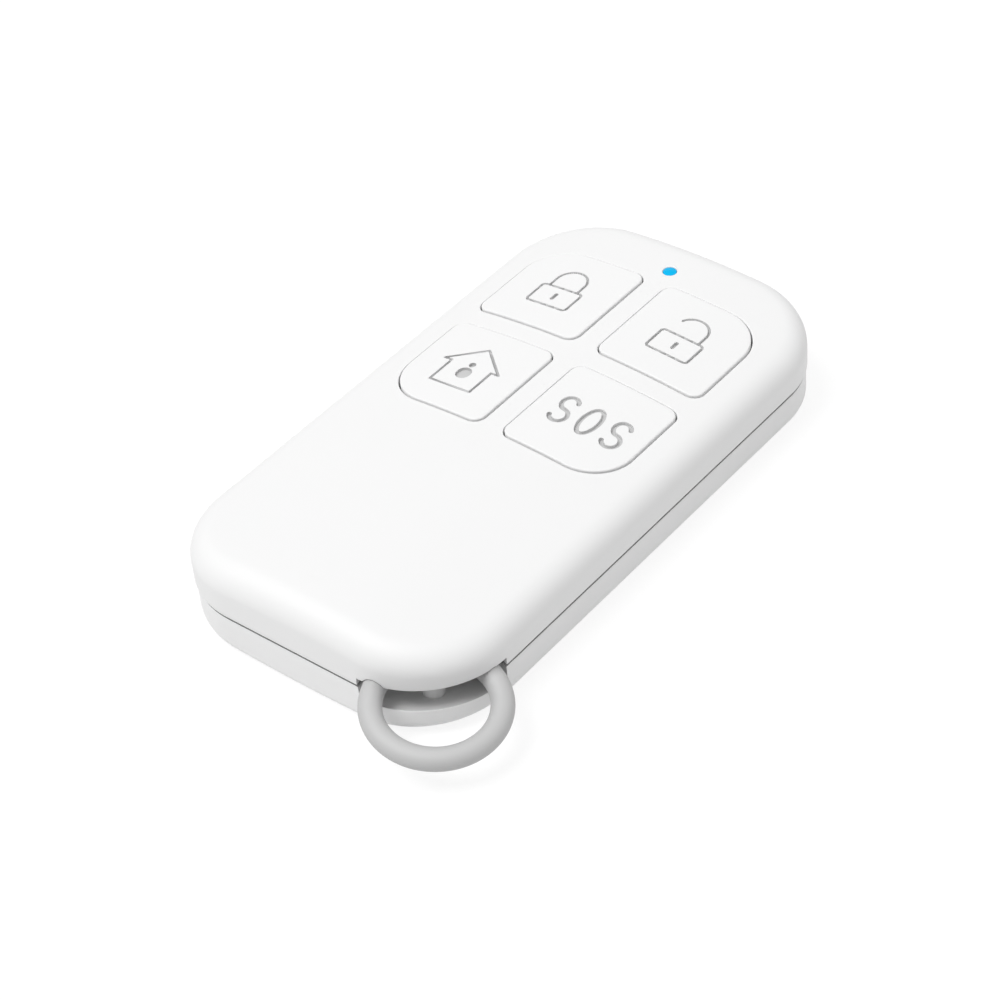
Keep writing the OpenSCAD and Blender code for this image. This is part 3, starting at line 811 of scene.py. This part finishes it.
def stroke_sides(points, closed, width):
    """Loops a given distance from a stroke's middle line: both sides of a closed line, or once round
    an open one with a half circle at each end."""
    ahead = np.roll(points, -1, axis=0) - np.roll(points, 1, axis=0)
    if not closed:
        ahead = np.gradient(points, axis=0)
    ahead /= np.linalg.norm(ahead, axis=1)[:, None]
    left = width / 2 * np.column_stack([-ahead[:, 1], ahead[:, 0]])
    if closed:
        return [points + left, points - left]
    swing = np.linspace(0, math.pi, STROKE_END)[1:-1, None]
    last = points[-1] + np.cos(swing) * left[-1] + np.sin(swing) * width / 2 * ahead[-1]
    first = points[0] - np.cos(swing) * left[0] - np.sin(swing) * width / 2 * ahead[0]
    return [np.concatenate([points + left, last, (points - left)[::-1], first])]


def engraved_depth(strokes, x, y):
    """How deep the engraving is at plan positions: full depth inside any stroke, none outside."""
    inside = [stroke_distance(x, y, points, closed) < width / 2 for points, closed, width in strokes]
    return bpy.context.scene.fob_keys.groove_depth * np.any(inside, axis=0)


def key_surfaces(name):
    """A key cap: rings about its centre for the boss, hollow, flange, side and soft edge, then the
    crowned top with its strokes let in between upright sides."""
    keys = bpy.context.scene.fob_keys
    case = bpy.context.scene.fob_case
    middle, half, radii = key_outline(name)
    loop, normals = rounded_loop(half, radii, KEY_STEP, KEY_STEP * 3)
    heading = loop / np.linalg.norm(loop, axis=1)[:, None]
    hollow_high = keys.proud - KEY_TOP_T
    hollow = loop - KEY_WALL_T * normals
    flange = loop + keys.flange * normals
    flange_high = -case.top_t - FLANGE_GAP
    flange_low = flange_high - FLANGE_T

    # Points about the key's centre, lifted off the crown
    def at(plan, lift):
        return raised(plan + middle, crown_z(plan[:, 0] + middle[0]) + lift)

    boss = BOSS_R * heading
    boss_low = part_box(f"{name}_plunger")[1].z + BOSS_GAP
    rows = [raised(0 * boss + middle, boss_low), raised(boss + middle, boss_low)]
    rows += [at(boss, hollow_high), at(hollow, hollow_high), at(hollow, flange_low), at(flange, flange_low)]
    side_top = keys.proud - keys.edge_r
    rows += [at(flange, flange_high), at(loop, flange_high), at(loop, side_top)]
    rows += [at(loop - keys.edge_r * (1 - math.cos(a)) * normals, side_top + keys.edge_r * math.sin(a))
             for a in np.linspace(0, QUARTER, KEY_EDGE_ROWS)[1:]]

    strokes = symbol_of(name)
    loops = [side + middle for points, closed, width in strokes for slope in (-1, 1)
             for side in stroke_sides(points, closed, width + slope * DRAFT)]
    span = np.arange(-half.max(), half.max(), KEY_GRID)
    loose = np.stack(np.meshgrid(span, span), -1).reshape(-1, 2) + middle
    loose = loose[key_distance(name, loose[:, 0], loose[:, 1]) < -2 * keys.edge_r]

    # The height of the key's top, and which of it is plain or engraved
    def top(x, y):
        return crown_z(x) + keys.proud - engraved_depth(strokes, x - middle[0], y - middle[1])

    def plain(x, y):
        return engraved_depth(strokes, x - middle[0], y - middle[1]) == 0

    def cut(x, y):
        return ~plain(x, y)

    outline = rows[-1][:, :2]
    return [loft(rows), fill([outline, *loops], [], loose, top, plain),
            fill([outline, *loops], [], loose, top, cut)]


def light_surfaces():
    """The light pipe: rings round its axis from the foot, over the collar, to a slightly domed end."""
    foot = LIGHT_LOW.z
    tip = LIGHT_HIGH.z
    side_top = tip - 2 * LIGHT_SOFT
    collar_high = CASE_H - bpy.context.scene.fob_case.top_t - COLLAR_GAP
    collar_low = collar_high - COLLAR_T
    profile = [(0, foot), (LIGHT_R, foot), (LIGHT_R, collar_low), (COLLAR_R, collar_low)]
    profile += [(COLLAR_R, collar_high), (LIGHT_R, collar_high), (LIGHT_R, side_top)]
    profile += [(LIGHT_R - LIGHT_SOFT * (1 - math.cos(a)), side_top + LIGHT_SOFT * math.sin(a))
                for a in np.linspace(0, QUARTER, LIGHT_EDGE_ROWS)[1:]]
    profile += [((LIGHT_R - LIGHT_SOFT) * r, tip - LIGHT_SOFT * r * r) for r in (0.75, 0.5, 0.25, 0)]
    heading = circle((0, 0), 1.0, 2 * math.pi / LIGHT_ROUND)
    return [loft([raised(radius * heading + LIGHT_AT, z) for radius, z in profile])]


def ring_surfaces():
    """The ring: a circle of wire carried round a larger circle, in the ring's own plane."""
    ring = bpy.context.scene.fob_ring
    spin, centre = ring_frame()
    heading = circle((0, 0), 1.0, 2 * math.pi / RING_ROUND)
    rows = []
    for a in np.linspace(0, 2 * math.pi, WIRE_ROUND + 1):
        radius = ring.ring_d / 2 + ring.wire_d / 2 * math.cos(a)
        local = raised(radius * heading, ring.wire_d / 2 * math.sin(a))
        rows.append(centre + local @ spin.T)
    return [loft(rows)]


# Materials


def add_node(owner, kind, inputs=None, **settings):
    """Adds one node to a material or the world: settings are its own fields, inputs are values or the
    sockets that feed it."""
    tree = owner.node_tree
    node = tree.nodes.new(kind)
    for field, value in settings.items():
        setattr(node, field, value)
    for socket, value in (inputs or {}).items():
        if isinstance(value, bpy.types.NodeSocket):
            tree.links.new(value, node.inputs[socket])
        else:
            node.inputs[socket].default_value = value
    return node


def new_material(name, colour_value, grain_mm, grain_depth_mm, roughness, spread, tint=0.02, **fixed):
    """A surface with a fine grain: noise at the grain's size lifts the surface, and slower noise moves its
    colour and roughness a little. Fixed values go straight to the shader's sockets."""
    material = bpy.data.materials.new(name)
    material.use_nodes = True
    shader = material.node_tree.nodes["Principled BSDF"]
    place = add_node(material, "ShaderNodeTexCoord").outputs["Object"]
    grain = add_node(material, "ShaderNodeTexNoise",
                     {"Vector": place, "Scale": 1 / (grain_mm * MM), "Detail": 3.0, "Roughness": 0.55})
    cloud = add_node(material, "ShaderNodeTexNoise",
                     {"Vector": place, "Scale": 1 / (CLOUD_GRAINS * grain_mm * MM), "Detail": 2.0})
    rough = add_node(material, "ShaderNodeMapRange", {"Value": cloud.outputs["Fac"],
                                                      "To Min": roughness - spread,
                                                      "To Max": roughness + spread})
    dark = tuple((1 - tint) * c for c in colour_value[:3]) + (1.0,)
    pale = tuple(colour_value[:3]) + (1.0,)
    mottle_and_groove_shade = add_node(material, "ShaderNodeMix", {"Factor": cloud.outputs["Fac"], "A": dark, "B": pale},
                     data_type="RGBA")
    bump = add_node(material, "ShaderNodeBump",
                    {"Height": grain.outputs["Fac"], "Distance": grain_depth_mm * MM, "Strength": 1.0})
    links = material.node_tree.links
    links.new(mottle_and_groove_shade.outputs["Result"], shader.inputs["Base Color"])
    links.new(rough.outputs["Result"], shader.inputs["Roughness"])
    links.new(bump.outputs["Normal"], shader.inputs["Normal"])
    for socket, value in fixed.items():
        shader.inputs[socket.replace("_", " ")].default_value = value
    return material


def moulded_abs(name, colour_value, roughness):
    """ABS, injection moulded against a lightly blasted tool: white all through, a soft sheen that
    spreads along the rolled edges, and no sharp mirror images."""
    return new_material(name, colour_value, *BLASTED, roughness, 0.04, tint=0.012, IOR=1.45)


def case_plastic():
    """The plastic that both covers share."""
    name = "Moulded ABS, case"
    return bpy.data.materials.get(name) or moulded_abs(name, bpy.context.scene.fob_colours.case, 0.56)


def plated_wire(name, colour_value):
    """Steel wire, tumbled and satin nickel plated: grey metal with a wide soft highlight along the
    top of the wire and darker flanks."""
    return new_material(name, colour_value, 0.15, 0.002, 0.7, 0.05, tint=0.04, Metallic=0.25,
                        Specular_Tint=(*srgb("#959595"), 1))


# Finishes inside, each with its nodes: colour, grain and its depth in millimetres, roughness and its
# spread, and how far it is a metal
INSIDE = {
    # Lacquer over woven glass: a flat sheet of even green with a slight shine
    "Solder-masked glass laminate": ("#1E5B33", 0.5, 0.01, 0.35, 0.05, 0, ["circuit_board"]),
    # Filled resin from a dull tool: near black, and no clear reflection
    "Moulded black epoxy": ("#1B1B1D", 0.1, 0.003, 0.55, 0.05, 0, ["encoder_chip", "rf_transistor"]),
    # Hard grey plastic: a soft shine on its edges
    "Moulded grey nylon": ("#3A3A3C", 0.12, 0.002, 0.45, 0.05, 0, [f"{name}_switch" for name in KEYS]),
    # Slippery white plastic: paler and smoother than the switch round it
    "Moulded white acetal": ("#E4E4E0", 0.12, 0.002, 0.4, 0.04, 0, [f"{name}_plunger" for name in KEYS]),
    # Hot-dipped tin: bright, with uneven highlights
    "Tinned copper": ("#C9CACB", 0.1, 0.002, 0.3, 0.06, 1, ["encoder_leads"]),
    # Thin plating on rolled strip: smooth warm yellow
    "Gilt plated strip": ("#D8B25A", 0.1, 0.001, 0.25, 0.04, 1, ["saw_resonator", "negative_contact"]),
    # Foil etched to a track: pink brown and a little dull
    "Etched copper track": ("#C77F4F", 0.1, 0.002, 0.35, 0.06, 1, ["antenna_loop"]),
    # Pressed from bright sheet: a clear metal shine
    "Pressed nickel-plated steel": ("#C6C6C4", 0.2, 0.001, 0.28, 0.05, 1, ["coin_cell", "battery_clip"]),
    # Fired clay body: dull tan
    "Fired ceramic, tan": ("#B08A63", 0.08, 0.002, 0.5, 0.05, 0, ["chip_capacitors"]),
    # Glassy film over ceramic: black with a small shine
    "Fired resistor film": ("#202124", 0.08, 0.001, 0.3, 0.05, 0, ["chip_resistors"]),
    # Cast clear resin over phosphor: smooth pale yellow
    "Cast pale resin": ("#EFE9C8", 0.2, 0.001, 0.25, 0.03, 0, ["status_led"]),
}


# Operators


class FOB_OT_front_cover(bpy.types.Operator):
    """Build the crowned front cover with its openings and the slot for the ring"""
    bl_idname = "fob.front_cover"
    bl_label = "Front cover"

    def execute(self, context):
        make_piece("front_cover_shell", front_cover_surfaces(), "front_cover", "case_plastic", case_plastic())
        return {"FINISHED"}


class FOB_OT_rear_cover(bpy.types.Operator):
    """Build the rear cover with its pocket, post and thumb-nail notch"""
    bl_idname = "fob.rear_cover"
    bl_label = "Rear cover"

    def execute(self, context):
        colours = context.scene.fob_colours
        # Painted shade: the ledge inside the seam takes a dark grey plastic, so the joint reads as a fine
        # dark line
        painted_seam_shade = new_material("Painted shade ABS, seam ledge", colours.seam, *BLASTED, 0.8, 0.04)
        # Painted shade: the ring's pocket takes a dull, slightly grey plastic, so the slot stays dark
        painted_pocket_shade = new_material("Painted shade ABS, ring pocket", colours.pocket, *BLASTED, 0.7, 0.05)
        make_piece("rear_cover_shell", rear_cover_surfaces(), "rear_cover", "case_plastic",
                   case_plastic(), painted_seam_shade, painted_pocket_shade, finish=(0, 0, 0, 1, 2))
        return {"FINISHED"}


class FOB_OT_keys(bpy.types.Operator):
    """Build the four keys with their engraved symbols"""
    bl_idname = "fob.keys"
    bl_label = "Keys"

    def execute(self, context):
        white = moulded_abs("Moulded ABS, keys", context.scene.fob_colours.keys, 0.54)
        # Painted shade: the engraving takes a grey material, so the lines stay grey from every side
        mottle_and_groove_shade = new_material("Painted groove shade", context.scene.fob_colours.symbols, 0.1, 0.002, 0.6, 0.05)
        for name in KEYS:
            make_piece(f"{name}_key_cap", key_surfaces(name), f"{name}_button", "key_plastic", white, mottle_and_groove_shade,
                       finish=(0, 0, 1))
        return {"FINISHED"}


class FOB_OT_light(bpy.types.Operator):
    """Build the blue end of the light pipe"""
    bl_idname = "fob.light"
    bl_label = "Status light"

    def execute(self, context):
        # Acrylic rod, tinted and lit from below: an even, strong blue with a small gloss
        blue = new_material("Tinted acrylic rod", context.scene.fob_colours.light, 0.3, 0.0005, 0.2, 0.02,
                            IOR=1.49, Specular_IOR_Level=0.1)
        make_piece("light_lens", light_surfaces(), "light_pipe", "light_pipe", blue)
        return {"FINISHED"}


class FOB_OT_key_ring(bpy.types.Operator):
    """Build the key ring"""
    bl_idname = "fob.key_ring"
    bl_label = "Key ring"

    def execute(self, context):
        metal = plated_wire("Satin nickel plated steel wire", context.scene.fob_colours.ring)
        make_piece("ring_wire", ring_surfaces(), "key_ring", "ring_metal", metal, sharp=180)
        return {"FINISHED"}


class FOB_OT_inside(bpy.types.Operator):
    """Give the circuit board, the cell and the parts on them their finishes"""
    bl_idname = "fob.inside"
    bl_label = "Inside"

    def execute(self, context):
        for name, (code, grain, depth, roughness, spread, metal, nodes) in INSIDE.items():
            material = new_material(name, srgb(code), grain, depth, roughness, spread, Metallic=metal)
            for node in nodes:
                mesh = frame["nodes"][node].data
                mesh.materials.clear()
                mesh.materials.append(material)
        return {"FINISHED"}


class FOB_OT_stage(bpy.types.Operator):
    """Set the floor, the lamps, the world and the camera"""
    bl_idname = "fob.stage"
    bl_label = "Studio"

    def execute(self, context):
        scene = context.scene
        make_floor()
        make_lamps(scene.fob_studio)
        make_world(scene.fob_studio.fill)
        make_camera(scene.fob_studio)
        scene.view_settings.view_transform = "Standard"
        return {"FINISHED"}


def seen_directly(owner):
    """1 where the camera, a mirror image or clear plastic looks at a surface, 0 for its light on others."""
    path = add_node(owner, "ShaderNodeLightPath").outputs
    either = add_node(owner, "ShaderNodeMath", {0: path["Is Camera Ray"], 1: path["Is Glossy Ray"]},
                      operation="MAXIMUM")
    any_of = add_node(owner, "ShaderNodeMath", {0: either.outputs[0], 1: path["Is Transmission Ray"]},
                      operation="MAXIMUM")
    return any_of.outputs[0]


def make_floor():
    """A wide pale floor that looks white and keeps a soft shadow."""
    corners = FLOOR_HALF * np.array([[-1, -1, 0], [1, -1, 0], [1, 1, 0], [-1, 1, 0]])
    mesh = bpy.data.meshes.new("floor")
    mesh.from_pydata(corners, [], [[0, 1, 2, 3]])
    # Seamless white paper: matt, and bright enough to read as white
    paper = bpy.data.materials.new("Seamless white paper")
    paper.use_nodes = True
    tree = paper.node_tree
    shader = tree.nodes["Principled BSDF"]
    shader.inputs["Base Color"].default_value = (*srgb("#EAEAEA"), 1)
    shader.inputs["Roughness"].default_value = 0.9
    shader.inputs["Specular IOR Level"].default_value = 0.1
    white = add_node(paper, "ShaderNodeEmission", {"Color": (1, 1, 1, 1), "Strength": FLOOR_WHITE})
    share = add_node(paper, "ShaderNodeMath", {0: seen_directly(paper), 1: FLOOR_SHARE}, operation="MULTIPLY")
    mix = add_node(paper, "ShaderNodeMixShader",
                   {"Fac": share.outputs[0], 1: shader.outputs["BSDF"], 2: white.outputs["Emission"]})
    tree.links.new(mix.outputs["Shader"], tree.nodes["Material Output"].inputs["Surface"])
    mesh.materials.append(paper)
    floor = bpy.data.objects.new("floor", mesh)
    bpy.context.scene.collection.objects.link(floor)


def make_lamps(studio):
    """A large soft lamp high up on the camera's left, and a weak one on its right."""
    lamps = {
        "key_lamp": (KEY_LAMP_AT, KEY_LAMP_SIZE, studio.key),
        "side_lamp": (SIDE_LAMP_AT, SIDE_LAMP_SIZE, studio.side),
    }
    for name, (place, size, watts) in lamps.items():
        lamp = bpy.data.lights.new(name, "AREA")
        lamp.shape = "DISK"
        lamp.size = size
        lamp.energy = watts
        holder = bpy.data.objects.new(name, lamp)
        holder.location = place
        holder.rotation_mode = "QUATERNION"
        holder.rotation_quaternion = holder.location.to_track_quat("Z", "Y")
        bpy.context.scene.collection.objects.link(holder)


def make_world(strength):
    """Even pale light from all round, and plain white where it is seen."""
    world = bpy.data.worlds.new("studio")
    bpy.context.scene.world = world
    world.use_nodes = True
    tree = world.node_tree
    even = tree.nodes["Background"]
    even.inputs["Color"].default_value = (1, 1, 1, 1)
    even.inputs["Strength"].default_value = strength
    seen = add_node(world, "ShaderNodeBackground", {"Color": (1, 1, 1, 1), "Strength": 1.0})
    mix = add_node(world, "ShaderNodeMixShader", {"Fac": seen_directly(world), 1: even.outputs["Background"],
                                                  2: seen.outputs["Background"]})
    tree.links.new(mix.outputs["Shader"], tree.nodes["World Output"].inputs["Surface"])


def make_camera(studio):
    """A camera at the photograph's viewing angle."""
    level = Vector((math.cos(studio.azimuth), math.sin(studio.azimuth), 0))
    away = Vector((level.y, -level.x, 0))
    back = math.cos(studio.elevation) * away + math.sin(studio.elevation) * Vector((0, 0, 1))
    upright = back.cross(level)
    right = math.cos(studio.roll) * level + math.sin(studio.roll) * upright
    up = math.cos(studio.roll) * upright - math.sin(studio.roll) * level
    data = bpy.data.cameras.new("camera")
    data.lens = studio.lens
    data.clip_start = CLIP_START
    camera = bpy.data.objects.new("camera", data)
    turned = Matrix((right, up, back)).transposed().to_4x4()
    camera.matrix_world = Matrix.Translation(Vector(studio.target) + studio.distance * back) @ turned
    bpy.context.scene.collection.objects.link(camera)
    bpy.context.scene.camera = camera


class FOB_PT_panel(bpy.types.Panel):
    """Lists the steps that build the key fob"""
    bl_idname = "FOB_PT_panel"
    bl_label = "Key fob"
    bl_space_type = "VIEW_3D"
    bl_region_type = "UI"
    bl_category = "Key fob"

    def draw(self, context):
        for operator in OPERATORS:
            self.layout.operator(operator.bl_idname)
        for group in GROUPS:
            box = self.layout.box()
            box.label(text=group.__doc__)
            for field in group.__annotations__:
                box.prop(getattr(context.scene, GROUPS[group]), field)


GROUPS = {
    FobCase: "fob_case", FobKeys: "fob_keys", FobRing: "fob_ring", FobColours: "fob_colours",
    FobStudio: "fob_studio",
}
OPERATORS = (
    FOB_OT_stage, FOB_OT_front_cover, FOB_OT_rear_cover, FOB_OT_keys, FOB_OT_light, FOB_OT_key_ring,
    FOB_OT_inside,
)


def register():
    """Adds the properties, the steps and the panel to Blender."""
    for group, field in GROUPS.items():
        bpy.utils.register_class(group)
        setattr(bpy.types.Scene, field, PointerProperty(type=group))
    for kind in (*OPERATORS, FOB_PT_panel):
        bpy.utils.register_class(kind)


def unregister():
    """Takes out what register added."""
    for kind in (*OPERATORS, FOB_PT_panel):
        bpy.utils.unregister_class(kind)
    for group, field in GROUPS.items():
        delattr(bpy.types.Scene, field)
        bpy.utils.unregister_class(group)


def main():
    """Builds the fob on its stage."""
    register()
    bpy.ops.fob.stage()
    bpy.ops.fob.front_cover()
    bpy.ops.fob.rear_cover()
    bpy.ops.fob.keys()
    bpy.ops.fob.light()
    bpy.ops.fob.key_ring()
    bpy.ops.fob.inside()


if __name__ == "__main__":
    main()
